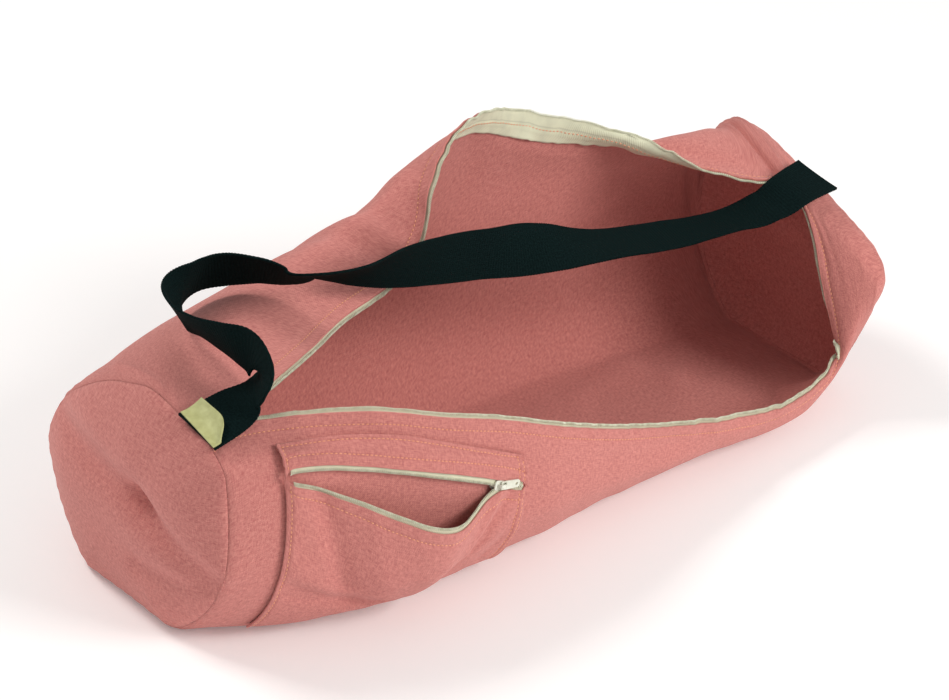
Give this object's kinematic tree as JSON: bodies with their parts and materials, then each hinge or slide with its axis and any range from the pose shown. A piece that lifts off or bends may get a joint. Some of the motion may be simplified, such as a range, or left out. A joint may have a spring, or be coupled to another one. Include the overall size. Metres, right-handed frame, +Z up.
{
  "type": "yoga mat bag",
  "caption": "Soft canvas tube bag for a rolled exercise mat, lying with its long zip open, with a zipped patch pocket and a webbing shoulder strap.",
  "frame": {"origin": "on the ground under the middle of the bag, at the flat stretch of cloth that it rests on", "axes": "+X along the bag from the labelled near end to the far end, -Y towards the pocket, +Z up"},
  "size_m": [0.6587, 0.2716, 0.2352],
  "materials": {
    "canvas": "plain-weave cotton canvas",
    "zip_tape": "woven tape",
    "zip_coil": "moulded coil",
    "slider_enamel": "enamelled die casting",
    "webbing": "ribbed webbing",
    "label_cloth": "plain satin tape"
  },
  "bodies": {
    "bag": {"main_panel": "canvas", "near_end_panel": "canvas", "far_end_panel": "canvas", "pocket_band": "canvas", "pocket_panel": "canvas", "front_zip_tape": "zip_tape", "back_zip_tape": "zip_tape", "front_zip_coil": "zip_coil", "back_zip_coil": "zip_coil", "main_zip_slider": "slider_enamel", "shoulder_strap": "webbing", "side_label": "label_cloth", "pocket_upper_tape": "zip_tape", "pocket_lower_tape": "zip_tape", "pocket_upper_coil": "zip_coil", "pocket_lower_coil": "zip_coil", "pocket_zip_slider": "slider_enamel"},
    "pull": {"pocket_zip_pull": "slider_enamel"}
  },
  "joints": [
    {"name": "pocket_pull_hinge", "type": "hinge", "parent": "bag", "child": "pull", "pos_m": [-0.10477, -0.14077, 0.09357], "axis": [-0.199, -0.1028, -0.9746], "range_deg": [0, 140]}
  ]
}
